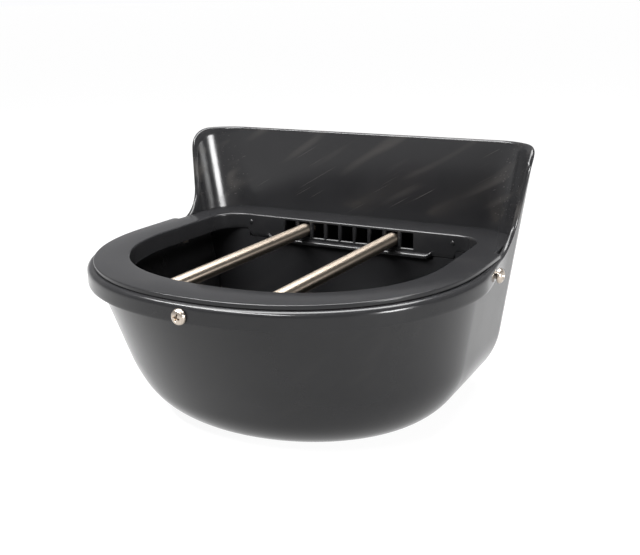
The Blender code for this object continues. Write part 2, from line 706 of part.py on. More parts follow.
def make_drain():
    y = WIDE_Y + DRAIN_Y
    floor = WALL + GAP
    seal_r, seal_thick = DRAIN_SEAL
    ring = ring_profile(DRAIN_R + GAP, seal_r, floor, floor + seal_thick)
    add_object("drain_seal", turned("drain_seal", ring, "Z", (0, y, 0)), RUBBER)
    mid = floor + seal_thick + GAP
    stem = DRAIN_R - GAP
    chamfer = 0.0015
    cap_r, cap_high = BUNG_CAP
    points = [(0, GAP), (stem - chamfer, GAP), (stem, GAP + chamfer), (stem, mid), (cap_r, mid)]
    points += [(cap_r, mid + cap_high - chamfer), (cap_r - chamfer, mid + cap_high), (0, mid + cap_high)]
    plug = add_object("drain_bung", turned("drain_bung", points, "Z", (0, y, 0)), GREY)
    wide, thin, high = GRIP
    grip = block("grip", (-wide, y - thin, mid + cap_high / 2), (wide, y + thin, mid + high), 0.0012)
    change(plug, "UNION", grip)
    eye_z = mid + (cap_high + high) / 2
    change(plug, "DIFFERENCE", rod("eye", EYE_R, (0, y - 0.01, eye_z), 0.02, 20, "Y"))


make_bowl()
make_rim_plate()
make_bars()
make_fixings()
make_guard()
make_inlet()
make_valve_body()
make_piston()
make_lever()
make_drain()
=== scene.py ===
# %% [markdown]
# # A livestock water bowl
# The real thing is one thick black polypropylene moulding: a D-shaped bowl with a tall splash wall behind
# it. A flat rim plate is screwed onto the bowl, two stainless steel bars keep animals from climbing in,
# and a float valve behind the slotted face keeps the water level.
#
# The working model already holds every piece in its right place. This lesson keeps that frame and gives
# each visible piece its finished surface. The frame is loaded first, and the boxes of its parts give the
# sizes used below. Nothing made here may change the object's size.

import json
from math import atan, cos, pi, radians, sin, sqrt

import bmesh
import bpy
from mathutils import Matrix, Vector


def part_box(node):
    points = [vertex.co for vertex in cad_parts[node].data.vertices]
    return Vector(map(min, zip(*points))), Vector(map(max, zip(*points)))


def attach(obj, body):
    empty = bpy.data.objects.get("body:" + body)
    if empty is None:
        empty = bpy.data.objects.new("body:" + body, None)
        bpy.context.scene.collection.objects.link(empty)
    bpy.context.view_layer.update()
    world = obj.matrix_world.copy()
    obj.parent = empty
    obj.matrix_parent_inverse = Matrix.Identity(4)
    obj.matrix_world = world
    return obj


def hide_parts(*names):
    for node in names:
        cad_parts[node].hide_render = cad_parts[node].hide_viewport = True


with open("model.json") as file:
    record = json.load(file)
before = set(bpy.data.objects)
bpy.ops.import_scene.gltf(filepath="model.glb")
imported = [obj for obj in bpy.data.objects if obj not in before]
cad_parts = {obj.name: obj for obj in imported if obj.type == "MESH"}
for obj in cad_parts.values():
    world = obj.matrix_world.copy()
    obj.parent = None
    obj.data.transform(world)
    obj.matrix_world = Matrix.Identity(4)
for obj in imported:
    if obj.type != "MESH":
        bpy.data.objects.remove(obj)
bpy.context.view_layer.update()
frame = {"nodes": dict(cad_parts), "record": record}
MM = 0.001

# %% [markdown]
# ## Sizes
# Heights and the back plane come from the frame. The mould maker's own numbers, such as wall thickness,
# draft and fillets, are repeated here in millimetres, so that the finer surfaces made below fall exactly
# on the plain ones that they replace.

# %% Sizes taken from the frame and from the mould
RIM_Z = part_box("rim_plate")[1].z
TOP_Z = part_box("bowl")[1].z
BACK_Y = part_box("bowl")[1].y
WIDE_Y = 15.6 * MM        # where the straight sides meet the rounded front
WALL = 4.0 * MM
SIDE_HALF = 161.0 * MM
FRONT_REACH = 150.0 * MM
SIDE_DRAFT = 0.156        # lean of the walls, as run over rise
FRONT_DRAFT = 0.42
SIDE_FILLET = 64.0 * MM
FRONT_FILLET = 46.0 * MM
BACK_FILLET = 12.0 * MM
CORNER = 42.0 * MM
TAPER = 0.039             # how fast the straight sides close in towards the back
ROUND_TOP = 2.16          # power of the superellipse at the rim and at the floor
ROUND_BASE = 2.0
BAND_HALF = 169.4 * MM
BAND_REACH = 158.5 * MM
BAND_Z = RIM_Z - 18.5 * MM
BAND_FADE = (-10.0 * MM, 75.0 * MM)   # where the band starts and ends dying into the wall
SHOULDER = 4.5 * MM       # a little rounder than the working model
PLATE = 3.5 * MM
GAP = 0.3 * MM
SEAT_Z = RIM_Z - PLATE - GAP
SHOULDER_Z = SEAT_Z - SHOULDER
print("rim plate top", round(RIM_Z / MM, 1), "mm, seat", round(SEAT_Z / MM, 1), "mm")

# %% [markdown]
# ## The outline seen from above
# Every level of the bowl is the same kind of D: a rounded front that is slightly squarer than an ellipse,
# two straight sides that close in a little, round back corners and a straight back. A superellipse gives
# the front with one power. A station says where we are on the way round, so that any two outlines can be
# joined point by point, which is what makes a clean mesh of quads.

# %% Stations round the D, and the point of an outline at a station
FRONT_STEPS = 144
SIDE_STEPS = 34
CORNER_STEPS = 30
BACK_STEPS = 90
CROWD = 1.5               # crowds the stations where the side wing turns up


def stations():
    """(kind, place, side) all the way round, from the left end of the front back to it."""
    front = [("front", pi * i / FRONT_STEPS, 1) for i in range(FRONT_STEPS + 1)]
    side = [("side", 1 - (1 - i / SIDE_STEPS) ** CROWD, 1) for i in range(1, SIDE_STEPS + 1)]
    corner = [("corner", pi / 2 * (i / CORNER_STEPS) ** CROWD, 1) for i in range(1, CORNER_STEPS + 1)]
    back = [("back", 1 - 2 * i / BACK_STEPS, 1) for i in range(1, BACK_STEPS)]
    right = side + corner
    left = [(kind, place, -1) for kind, place, _ in reversed(right)]
    return front + right + back + left


def d_point(station, half, reach, power, back, corner, taper, slide=0.0):
    """One point of a D. Slide moves a point of the side or corner along the outline towards the back."""
    kind, place, side = station
    corner_y = back - corner
    centre_x = half - taper * (corner_y - WIDE_Y) - corner
    if kind == "front":
        across = -half * (1 if cos(place) > 0 else -1) * abs(cos(place)) ** (2 / power)
        return across, WIDE_Y - reach * abs(sin(place)) ** (2 / power)
    if kind == "back":
        return centre_x * place, back
    y = WIDE_Y + (corner_y - WIDE_Y) * place if kind == "side" else corner_y + corner * sin(place)
    y = min(y + slide, back)
    if y <= corner_y:
        return side * (half - taper * (y - WIDE_Y)), y
    return side * (centre_x + sqrt(max(corner**2 - (y - corner_y) ** 2, 0.0))), y


STATIONS = stations()
print("stations round the bowl:", len(STATIONS))

# %% [markdown]
# ## The walls
# A moulded wall leans so that it leaves the mould, and turns into the floor by a fillet. One function
# gives a wall's distance at any height, for the sides and the front alike. The rim band stands out from
# the wall and fades into it on the way back.

# %% A wall at any height
FRONT_INSET = 1.08        # the front leans most, so its level thickness is a little more than the wall's


def wall_at(width, slope, fillet, height):
    """Distance of a wall that leans in by slope and turns into the floor by a fillet."""
    lean = atan(slope)
    tangent = fillet - fillet * sin(lean)
    centre = width + slope * (tangent - BAND_Z) - fillet * cos(lean)
    if height >= tangent:
        return width + slope * (height - BAND_Z)
    return centre + sqrt(max(fillet**2 - (fillet - height) ** 2, 0.0))


def smoothstep(t):
    t = min(max(t, 0.0), 1.0)
    return t * t * (3 - 2 * t)


def wall_point(station, height, inset=0.0, slide=0.0):
    """A point of the bowl's wall, moved inwards by inset, without the band."""
    along = max((BAND_Z - height) / BAND_Z, 0.0)
    power = ROUND_TOP + (ROUND_BASE - ROUND_TOP) * along
    over = max(height - inset, 0.0)
    half = wall_at(SIDE_HALF - inset, SIDE_DRAFT, SIDE_FILLET - inset, over)
    reach = wall_at(FRONT_REACH - inset * FRONT_INSET, FRONT_DRAFT, FRONT_FILLET - inset, min(over, RIM_Z))
    below = max(BACK_FILLET - over, 0.0)
    back = BACK_Y - inset - (BACK_FILLET - sqrt(BACK_FILLET**2 - below**2))
    x, y = d_point(station, half, reach, power, back, CORNER - inset, TAPER, slide)
    return Vector((x, y, height))


print("half width under the band", round(wall_at(SIDE_HALF, SIDE_DRAFT, SIDE_FILLET, BAND_Z) / MM, 1), "mm")

# %% [markdown]
# The band is the strong belt round the rim of the real bowl. It could be a second solid joined on, but a
# seam would then show where it runs out. Here a point of the band is blended into the point of the wall at
# the same station, so the belt fades into the wing without an edge.

# %% The rim band


def band_share(y):
    """1 where the band stands out in full, 0 where it has died into the wall."""
    return 1 - smoothstep((y - WIDE_Y - BAND_FADE[0]) / (BAND_FADE[1] - BAND_FADE[0]))


def band_point(station, height, offset=0.0, slide=0.0):
    """A point of the band, pulled in by offset, which runs flush into the wall behind."""
    plain = wall_point(station, height, slide=slide)
    x, y = d_point(station, BAND_HALF - offset, BAND_REACH - offset, ROUND_TOP, BACK_Y, CORNER, TAPER, slide)
    return plain.lerp(Vector((x, y, height)), band_share(plain.y))


print("band stands out", round((BAND_HALF - SIDE_HALF) / MM, 1), "mm at the sides")

# %% [markdown]
# ## The edge of the splash wall
# Behind the drinking opening the side walls sweep up into wings. Seen from the side the edge is a foot
# curve, a leaning straight and a rounded head. The mesh follows that line, and the edge is rolled over:
# the arc stands square to the line, so that the bead is equally thick all the way.

# %% Height and direction of the edge
WING_FOOT_Y = WIDE_Y + 53.0 * MM
WING_LEAN = 0.18
WING_LOW_R = 34.0 * MM
WING_TOP_R = 24.0 * MM
LEAN = atan(WING_LEAN)
FOOT_END_Y = WING_FOOT_Y + WING_LOW_R * cos(LEAN)
FOOT_END_Z = SEAT_Z + WING_LOW_R * (1 - sin(LEAN))
HEAD_START_Z = TOP_Z - WING_TOP_R * (1 - sin(LEAN))
HEAD_START_Y = FOOT_END_Y + (HEAD_START_Z - FOOT_END_Z) * WING_LEAN
HEAD_Y = HEAD_START_Y + WING_TOP_R * cos(LEAN)


def edge_at(y):
    """(height, direction) of the edge at a distance y; direction is its slope angle from level."""
    if y <= WING_FOOT_Y:
        return SEAT_Z, 0.0
    if y <= FOOT_END_Y:
        turn = (y - WING_FOOT_Y) / WING_LOW_R
        return SEAT_Z + WING_LOW_R * (1 - sqrt(1 - turn**2)), atan(turn / sqrt(1 - turn**2))
    if y <= HEAD_START_Y:
        return FOOT_END_Z + (y - FOOT_END_Y) / WING_LEAN, pi / 2 - LEAN
    if y <= HEAD_Y:
        turn = (HEAD_Y - y) / WING_TOP_R
        return TOP_Z - WING_TOP_R * (1 - sqrt(1 - turn**2)), atan(turn / sqrt(1 - turn**2))
    return TOP_Z, 0.0


print("edge rises from", round(WING_FOOT_Y / MM, 1), "to", round(HEAD_Y / MM, 1), "mm behind the middle")

# %% [markdown]
# ## The bowl's skin
# Each station gives one strip: up the outside, over the edge and down the inside. Strips are joined into
# quads, and points that fall together are merged. A lattice like this keeps the reflections calm, which a
# Boolean of coarse blocks wouldn't. The outside comes first, with small radii on the band's lower lip.

# %% Up the outside
OUTER_ROWS = 30
BAND_ROWS = 5
CLOSE_LOW = 1.6           # brings the rows closer together in the floor's fillet
LIP = 1.0 * MM            # small radii of the band's lower lip and the inner edge


def outside_points(station):
    rows = range(OUTER_ROWS + 1)
    points = [wall_point(station, (BAND_Z - LIP) * (j / OUTER_ROWS) ** CLOSE_LOW) for j in rows]
    points += [wall_point(station, BAND_Z - 0.4 * LIP), band_point(station, BAND_Z, LIP)]
    points.append(band_point(station, BAND_Z + 0.3 * LIP, 0.3 * LIP))
    low = BAND_Z + LIP
    for j in range(BAND_ROWS + 1):
        points.append(band_point(station, low + (SHOULDER_Z - low) * j / BAND_ROWS))
    return points


print("outside:", len(outside_points(STATIONS[0])), "points")

# %% [markdown]
# The edge is where the light catches the real bowl, so it gets rows of its own. In front it is the rounded
# shoulder under the rim plate; on the wings the two radii grow until they meet as one full bead.

# %% Over the edge
WING_ROWS = 16
EDGE_ROWS = 6
TURN_Z = SEAT_Z - 4.0 * MM   # the inside's wing rows end here, and its wall rows begin


def edge_points(station):
    """Up the wing, over its edge and down the inside to TURN_Z."""
    plain = band_point(station, SEAT_Z)
    height, slope = edge_at(plain.y)
    outer = band_point(station, height)
    inner_height, inner_slope = edge_at(wall_point(station, SEAT_Z, WALL).y)
    inner = wall_point(station, inner_height, WALL)
    across = (inner - outer).normalized()
    half_thick = (inner - outer).length / 2
    out_r = min(SHOULDER, half_thick)
    in_r = LIP + (half_thick - LIP) * smoothstep((plain.y - WING_FOOT_Y) / WING_LOW_R)

    points = []
    rise = height - cos(slope) * out_r - SHOULDER_Z
    for j in range(1, WING_ROWS + 1):
        part = j / WING_ROWS
        points.append(band_point(station, SHOULDER_Z + rise * part, slide=sin(slope) * out_r * part))
    up = Vector((0, -sin(slope), cos(slope)))
    for j in range(1, EDGE_ROWS + 1):
        a = pi / 2 * j / EDGE_ROWS
        points.append(outer - up * out_r * (1 - sin(a)) + across * out_r * (1 - cos(a)))
    up = Vector((0, -sin(inner_slope), cos(inner_slope)))
    for j in range(EDGE_ROWS):
        a = pi / 2 * j / EDGE_ROWS
        points.append(inner - up * in_r * (1 - cos(a)) - across * in_r * (1 - sin(a)))
    top = inner_height - cos(inner_slope) * in_r
    for j in range(WING_ROWS + 1):
        part = 1 - j / WING_ROWS
        low = TURN_Z + (top - TURN_Z) * part
        points.append(wall_point(station, low, WALL, sin(inner_slope) * in_r * part))
    return points


print("edge:", len(edge_points(STATIONS[0])), "points")

# %% [markdown]
# The inside follows the outside at the thickness of the wall, because a moulding of even thickness cools
# without sinking.

# %% Down the inside
INNER_ROWS = 34


def inside_points(station):
    points = []
    for j in range(1, INNER_ROWS + 1):
        up = (1 - j / INNER_ROWS) ** CLOSE_LOW
        points.append(wall_point(station, WALL + (TURN_Z - WALL) * up, WALL))
    return points


STRIPS = [outside_points(station) + edge_points(station) + inside_points(station) for station in STATIONS]
print("strips:", len(STRIPS), "of", len(STRIPS[0]), "points")

# %% [markdown]
# Two helpers turn such lattices into objects. The first joins closed rows of points and caps the ends,
# the second makes a smooth-shaded object that keeps real corners sharp.

# %% From points to an object
SHARP = radians(40)       # edges that turn more than this stay crisp
MERGE = 0.01 * MM         # points closer than this are one point


def lattice(rows):
    """A closed mesh through rows of points; each row goes all the way round and has the same count."""
    shape = bmesh.new()
    loops = [[shape.verts.new(point) for point in row] for row in rows]
    count = len(rows[0])
    for low, high in zip(loops, loops[1:]):
        for i in range(count):
            j = (i + 1) % count
            shape.faces.new((low[i], low[j], high[j], high[i]))
    shape.faces.new(list(reversed(loops[0])))
    shape.faces.new(loops[-1])
    return shape


def object_from(name, shape):
    """An object of a bmesh, with doubled points merged, faces turned out and smooth shading."""
    bmesh.ops.remove_doubles(shape, verts=shape.verts, dist=MERGE)
    bmesh.ops.dissolve_degenerate(shape, edges=shape.edges, dist=MERGE / 2)
    bmesh.ops.recalc_face_normals(shape, faces=shape.faces)
    mesh = bpy.data.meshes.new(name)
    shape.to_mesh(mesh)
    shape.free()
    mesh.shade_smooth()
    mesh.set_sharp_from_angle(angle=SHARP)
    made = bpy.data.objects.new(name, mesh)
    bpy.context.scene.collection.objects.link(made)
    return made


bowl = object_from("bowl_shell", lattice([list(row) for row in zip(*STRIPS)]))
print("bowl shell:", len(bowl.data.polygons), "faces")

# %% [markdown]
# ## Holes and the inlet boss
# The bowl is drilled for its screws, the wall fixings, the drain and the inlet, and a boss thickens the
# wall round the inlet. These are round tools joined to or cut from the skin with Blender's exact Boolean,
# at the places that the frame gives.

# %% Turned tools
PIN_STEPS = 48            # corners round a drilled hole
TURNS = {"X": Matrix.Rotation(pi / 2, 4, "Y"), "Y": Matrix.Rotation(-pi / 2, 4, "X"), "Z": Matrix()}


def turned(profile, axis="Z", centre=(0, 0, 0), steps=64):
    """A solid turned from (radius, distance along the axis) points, which start and end on the axis."""
    shape = bmesh.new()
    loops = []
    for radius, along in profile:
        if radius <= 0:
            loops.append([shape.verts.new((0, 0, along))])
            continue
        angles = [2 * pi * i / steps for i in range(steps)]
        loops.append([shape.verts.new((radius * cos(a), radius * sin(a), along)) for a in angles])
    for one, two in zip(loops, loops[1:]):
        for i in range(steps):
            j = (i + 1) % steps
            corners = [one[i % len(one)], one[j % len(one)], two[j % len(two)], two[i % len(two)]]
            shape.faces.new(list(dict.fromkeys(corners)))
    bmesh.ops.transform(shape, matrix=Matrix.Translation(centre) @ TURNS[axis], verts=shape.verts)
    return shape


def pin(radius, axis, centre, length):
    """A plain cylinder that starts at the centre given and runs along the axis."""
    return turned([(0, 0), (radius, 0), (radius, length), (0, length)], axis, centre, PIN_STEPS)


print("holes have", PIN_STEPS, "corners")

# %% [markdown]
# A Boolean modifier drills or joins: it is applied at once and its tool is deleted, so only the finished
# mesh stays. Tools that are used together must not overlap one another.

# %% Join and cut


def combine(target, operation, *shapes):
    """Joins shapes to the target, or cuts them from it, and keeps the result as its mesh."""
    joined = bmesh.new()
    for shape in shapes:
        bmesh.ops.recalc_face_normals(shape, faces=shape.faces)
        mesh = bpy.data.meshes.new("tool")
        shape.to_mesh(mesh)
        shape.free()
        joined.from_mesh(mesh)
        bpy.data.meshes.remove(mesh)
    tool = object_from("tool", joined)
    step = target.modifiers.new("step", "BOOLEAN")
    step.operation = operation
    step.object = tool
    graph = bpy.context.evaluated_depsgraph_get()
    made = bpy.data.meshes.new_from_object(target.evaluated_get(graph))
    target.modifiers.clear()
    target.data = made
    bpy.data.objects.remove(tool, do_unlink=True)
    made.shade_smooth()
    made.set_sharp_from_angle(angle=SHARP)


def middle(node):
    low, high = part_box(node)
    return (low + high) / 2


inlet = middle("inlet_fitting")
drain = middle("drain_seal")
front_screw = middle("front_screw")
side_screw = middle("right_screw")
print("inlet at", [round(v / MM, 1) for v in inlet], "mm")

# %% [markdown]
# The boss lies between the locknut outside and the washer inside, and is as wide as in the working model,
# so that it stays clear of the guard in front of the valve. The wall holes take 8 mm screws with room.

# %% Boss and holes of the bowl
BOSS_R = 15.4 * MM
INLET_HOLE_R = 10.75 * MM
DRAIN_HOLE_R = 13.0 * MM
SCREW_HOLE_R = 3.3 * MM
WALL_HOLE_R = 4.5 * MM
HANG_X = 95 * MM          # wall holes, from the middle
HANG_Z = RIM_Z - 18 * MM
OUTSIDE = 200 * MM        # a place beyond every wall, for drills to start from
boss_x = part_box("inlet_locknut")[1].x + GAP
boss_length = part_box("inlet_washer")[0].x - GAP - boss_x
combine(bowl, "UNION", pin(BOSS_R, "X", (boss_x, inlet.y, inlet.z), boss_length))
holes = [
    pin(INLET_HOLE_R, "X", (-OUTSIDE, inlet.y, inlet.z), 80 * MM),
    pin(DRAIN_HOLE_R, "Z", (drain.x, drain.y, -10 * MM), 30 * MM),
    pin(SCREW_HOLE_R, "X", (-OUTSIDE, side_screw.y, side_screw.z), 2 * OUTSIDE),
    pin(SCREW_HOLE_R, "Y", (0, -OUTSIDE, front_screw.z), 100 * MM),
    pin(WALL_HOLE_R, "Y", (-HANG_X, BACK_Y - 20 * MM, HANG_Z), 40 * MM),
    pin(WALL_HOLE_R, "Y", (HANG_X, BACK_Y - 20 * MM, HANG_Z), 40 * MM),
]
combine(bowl, "DIFFERENCE", *holes)
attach(bowl, "bowl_body")
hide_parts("bowl")
print("bowl with holes:", len(bowl.data.polygons), "faces")

# %% [markdown]
# ## The rim plate
# The plate is a flat moulding with softened edges. A skirt hangs round its opening and becomes a deeper
# face at the back, which the water slots pass through. Outline and opening are two loops, so the edges are
# rolled by moving each loop sideways in small steps, and the flat top is filled between them.

# %% Outlines of the plate
PLATE_HALF = 163.5 * MM
PLATE_REACH = 154.0 * MM
PLATE_END = WIDE_Y + 50.0 * MM   # the plate steps in here, to pass inside the wings
STEP_R = 3.0 * MM         # the rounded corner of that step
PLATE_TAPER = 0.02
OPEN_HALF = 134.7 * MM
OPEN_REACH = 121.5 * MM
OPEN_ROUND = 2.27
OPEN_BACK = WIDE_Y + 93.9 * MM
OPEN_CORNER = 24.0 * MM
OPEN_TAPER = 0.03


def plate_outline():
    """On the rim in front, and inside the wings behind PLATE_END."""
    back = BACK_Y - WALL - GAP
    points = []
    for station in STATIONS:
        if station[0] == "front":
            points.append(d_point(station, PLATE_HALF, PLATE_REACH, ROUND_TOP, back, CORNER, PLATE_TAPER))
    inside = [wall_point(station, RIM_Z - PLATE, WALL + GAP) for station in STATIONS if station[0] != "front"]
    arc = [(p.x, p.y) for p in inside if p.y > PLATE_END + 4 * MM]
    edge_x = PLATE_HALF - PLATE_TAPER * (PLATE_END - WIDE_Y)
    step = []
    for a in (0, 0.4, 0.8, 1.2, pi / 2):
        step.append((edge_x - STEP_R * (1 - cos(a)), PLATE_END - STEP_R * (1 - sin(a))))
    step += [(arc[0][0], PLATE_END), (arc[0][0], PLATE_END + 2 * MM)]
    return points + step + arc + [(-x, y) for x, y in reversed(step)]


def opening_point(station):
    return d_point(station, OPEN_HALF, OPEN_REACH, OPEN_ROUND, OPEN_BACK, OPEN_CORNER, OPEN_TAPER)


def moved(outline, distance):
    """The outline moved outwards by a distance, square to itself."""
    made = []
    count = len(outline)
    for i, (x, y) in enumerate(outline):
        before, after = outline[i - 1], outline[(i + 1) % count]
        along = Vector((after[0] - before[0], after[1] - before[1])).normalized()
        made.append((x + along.y * distance, y - along.x * distance))
    return made


OUTLINE = plate_outline()
OPENING = [opening_point(station) for station in STATIONS]
print("plate outline", len(OUTLINE), "points, opening", len(OPENING))

# %% [markdown]
# The skirt is shallow round the front and deep at the back, where the slotted face hangs. The foot of that
# face is rolled forward into a thin bead. Small functions say how deep and how far at any point of the mouth.

# %% Depth of the skirt and the rolled lip
SKIRT = 3.0 * MM          # thickness
SKIRT_DROP = 15.0 * MM
FACE_DROP = 21.5 * MM
FACE_HALF = 104 * MM
FACE_FADE = 4 * MM        # the deep face becomes the shallow skirt over this length
LIP_DROP = 24.5 * MM      # depth of the rolled lip's underside
LIP_HALF = 80 * MM
LIP_FADE = 5 * MM         # the lip dies into the face over this length
LIP_STANDS = 4.6 * MM
LIP_HIGH = 5.0 * MM
FACE_FRONT = OPEN_BACK - 1 * MM   # points behind this belong to the face


def lip_share(x):
    """1 along the lip, 0 beyond its rounded ends."""
    return 1 - smoothstep((abs(x) - LIP_HALF) / LIP_FADE)


def drop_at(x, y):
    """Depth of the skirt, which is deeper along the slotted face."""
    if y < FACE_FRONT:
        return SKIRT_DROP
    if abs(x) > LIP_HALF + LIP_FADE:
        deep = 1 - smoothstep((abs(x) - FACE_HALF) / FACE_FADE)
        return SKIRT_DROP + (FACE_DROP - SKIRT_DROP) * deep
    return FACE_DROP + (LIP_DROP - FACE_DROP) * lip_share(x)


def lip_at(x, y):
    """How far the rolled lip stands forward; only the foot of the slotted face has one."""
    return 0.0 if y < FACE_FRONT else LIP_STANDS * lip_share(x)


print("deepest part of the plate", round(LIP_DROP / MM, 1), "mm below its top")

# %% [markdown]
# Moulded edges are never sharp. The outline and the mouth are each rolled over a quarter circle, by moving
# the loop sideways while it climbs. A bevel could break down where skirt, step and lip come together.

# %% Rows of the outer edge and of the mouth
EDGE_R = 0.9 * MM
MOUTH_R = 1.6 * MM
MOUTH_STEPS = 6
UNDERCUT = 0.4 * MM       # small chamfer round the underside
LIP_STEPS = 8
LIP_FULL = 0.7            # below 1, the lip's section is fuller than a half circle
LIP_BACK = 1.2 * MM       # the lip's underside turns back this far


def outer_rows():
    rows = []
    for distance, height in ((-UNDERCUT, RIM_Z - PLATE), (0, RIM_Z - PLATE + UNDERCUT)):
        rows.append([(x, y, height) for x, y in moved(OUTLINE, distance)])
    for a in (0, pi / 8, pi / 4, 3 * pi / 8, pi / 2):
        height = RIM_Z - EDGE_R * (1 - sin(a))
        rows.append([(x, y, height) for x, y in moved(OUTLINE, -EDGE_R * (1 - cos(a)))])
    return rows


def mouth_rows():
    """Over the mouth's edge, down the skirt, round its foot and up its back."""
    rows = []
    for i in range(MOUTH_STEPS + 1):
        a = pi / 2 * (1 - i / MOUTH_STEPS)
        height = RIM_Z - MOUTH_R * (1 - sin(a))
        rows.append([(x, y, height) for x, y in moved(OPENING, MOUTH_R * (1 - cos(a)))])
    depth = [drop_at(x, y) for x, y in OPENING]
    for part in (0.25, 0.5, 0.75, 1.0):
        row = []
        for (x, y), drop in zip(OPENING, depth):
            row.append((x, y, RIM_Z - MOUTH_R - (drop - MOUTH_R - LIP_HIGH) * part))
        rows.append(row)
    for i in range(1, LIP_STEPS + 1):
        a = pi * i / LIP_STEPS
        row = []
        for (x, y), drop in zip(OPENING, depth):
            forward = lip_at(x, y) * sin(a) ** LIP_FULL
            height = RIM_Z - drop + LIP_HIGH / 2 * (1 + cos(a))
            row.append((x, y - forward + LIP_BACK * (i / LIP_STEPS) ** 3, height))
        rows.append(row)
    for distance, lift in ((2.2, 0.0), (2.75, 0.25), (3.0, 0.8)):
        ring = moved(OPENING, distance * MM)
        rows.append([(x, y, RIM_Z - drop + lift * MM) for (x, y), drop in zip(ring, depth)])
    rows.append([(x, y, RIM_Z - PLATE) for x, y in moved(OPENING, SKIRT)])
    return rows


OUTER_EDGE = outer_rows()
MOUTH = mouth_rows()
print("plate rows:", len(OUTER_EDGE), "outside,", len(MOUTH), "round the mouth")

# %% [markdown]
# The two sets of rows are skinned like the bowl's strips. What is left is the flat top and the flat
# underside, each a ring between two loops, which Blender's triangle fill closes.

# %% Skin the rows and fill the flats


def plate_shape():
    shape = bmesh.new()
    made = []
    for rows in (OUTER_EDGE, MOUTH):
        loops = [[shape.verts.new(point) for point in row] for row in rows]
        for low, high in zip(loops, loops[1:]):
            for i in range(len(low)):
                j = (i + 1) % len(low)
                shape.faces.new((low[i], low[j], high[j], high[i]))
        made.append(loops)
    outside, mouth = made
    for one, two in ((outside[-1], mouth[0]), (outside[0], mouth[-1])):
        edges = []
        for loop in (one, two):
            edges += [shape.edges.get((loop[i - 1], loop[i])) for i in range(len(loop))]
        bmesh.ops.triangle_fill(shape, use_beauty=True, use_dissolve=False, edges=edges)
    return shape


plate = object_from("rim_plate_moulding", plate_shape())
print("plate:", len(plate.data.polygons), "faces")

# %% [markdown]
# ## Screw lugs and bar tabs
# Blocks under the plate take the screws, each between the wall and its nut, and a thin tab carries the
# front end of each bar. They are boxes with slightly rounded edges, joined to the plate in one step, because
# none of them touches another.

# %% Lugs and tabs
LUG = 9.0 * MM            # half width and depth of a lug
LUG_ROUND = 0.6 * MM
FRONT_LUG_DROP = 20.0 * MM
SIDE_LUG_DROP = 21.0 * MM
TAB_Y = (-105.5 * MM, -101.5 * MM)
LUG_TOP = RIM_Z - PLATE / 2   # inside the plate, so that the two join


def block(low, high):
    shape = bmesh.new()
    bmesh.ops.create_cube(shape, size=1.0)
    low, high = Vector(low), Vector(high)
    bmesh.ops.scale(shape, vec=high - low, verts=shape.verts)
    bmesh.ops.translate(shape, vec=(high + low) / 2, verts=shape.verts)
    edges = list(shape.edges)
    bmesh.ops.bevel(shape, geom=edges, offset=LUG_ROUND, segments=3, profile=0.5, affect="EDGES")
    return shape


bars = [middle("guard_bar_left"), middle("guard_bar_right")]
lug_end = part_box("front_nut")[0].y - GAP
lugs = [block((-LUG, lug_end - LUG, RIM_Z - FRONT_LUG_DROP), (LUG, lug_end, LUG_TOP))]
for nut, way in (("left_nut", -1), ("right_nut", 1)):
    face_x = way * (max(abs(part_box(nut)[0].x), abs(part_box(nut)[1].x)) + GAP)
    xs = sorted((face_x, face_x + way * LUG))
    low = (xs[0], side_screw.y - LUG, RIM_Z - SIDE_LUG_DROP)
    lugs.append(block(low, (xs[1], side_screw.y + LUG, LUG_TOP)))
for bar in bars:
    low = (bar.x - LUG, TAB_Y[0], RIM_Z - FRONT_LUG_DROP)
    lugs.append(block(low, (bar.x + LUG, TAB_Y[1], LUG_TOP)))
combine(plate, "UNION", *lugs)
print("lugs and tabs:", len(lugs))

# %% [markdown]
# ## Water slots and bar holes
# Nine slots are cut through the face, to let water in from the float chamber. Each cutter flares a little
# where it meets the face, which leaves the small chamfer that catches the light on the real ribs. The bars
# pass through round holes; the holes at their back ends run through slots, so they are cut in a second step.

# %% Slots and holes
SLOTS = 9
SLOT_PITCH = 15.0 * MM
SLOT_WIDTH = 12.0 * MM
SLOT_TOP = RIM_Z - 2.8 * MM
SLOT_SILL = RIM_Z - 16.8 * MM
CHAMFER = 0.5 * MM
BAR_HOLE = 6.25 * MM


def slot_cutter(x):
    rows = []
    for y, flare in ((-2 * MM, CHAMFER), (0, CHAMFER), (CHAMFER, 0), (12 * MM, 0)):
        half = SLOT_WIDTH / 2 + flare
        low, high = SLOT_SILL - flare, SLOT_TOP + flare
        corners = ((x - half, low), (x + half, low), (x + half, high), (x - half, high))
        rows.append([(px, OPEN_BACK + y, pz) for px, pz in corners])
    return lattice(rows)


cuts = [slot_cutter((i - (SLOTS - 1) / 2) * SLOT_PITCH) for i in range(SLOTS)]
cuts += [pin(BAR_HOLE, "Y", (bar.x, -120 * MM, bar.z), 30 * MM) for bar in bars]
cuts.append(pin(SCREW_HOLE_R, "Y", (0, -160 * MM, front_screw.z), 45 * MM))
for x in (-170 * MM, 142 * MM):
    cuts.append(pin(SCREW_HOLE_R, "X", (x, side_screw.y, side_screw.z), 28 * MM))
combine(plate, "DIFFERENCE", *cuts)
back_holes = [pin(BAR_HOLE, "Y", (bar.x, OPEN_BACK - 10 * MM, bar.z), 20 * MM) for bar in bars]
combine(plate, "DIFFERENCE", *back_holes)
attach(plate, "bowl_body")
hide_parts("rim_plate")
print("plate with slots:", len(plate.data.polygons), "faces")

# %% [markdown]
# ## Ejector marks
# Where the mould's ejector pins pushed the plate out, each end of the slotted face carries a small round
# pip. It is too small for the lattice, so a low dome is turned and joined to the face on both sides.

# %% Pips on the face
PIP_X = 103.5 * MM
PIP_Z = RIM_Z - 7.5 * MM
PIP_R = 2.2 * MM


PIP_STANDS = 1.1 * MM
PIP_ROOT = 1.0 * MM       # how far it reaches into the face
PIP_STEPS = 24


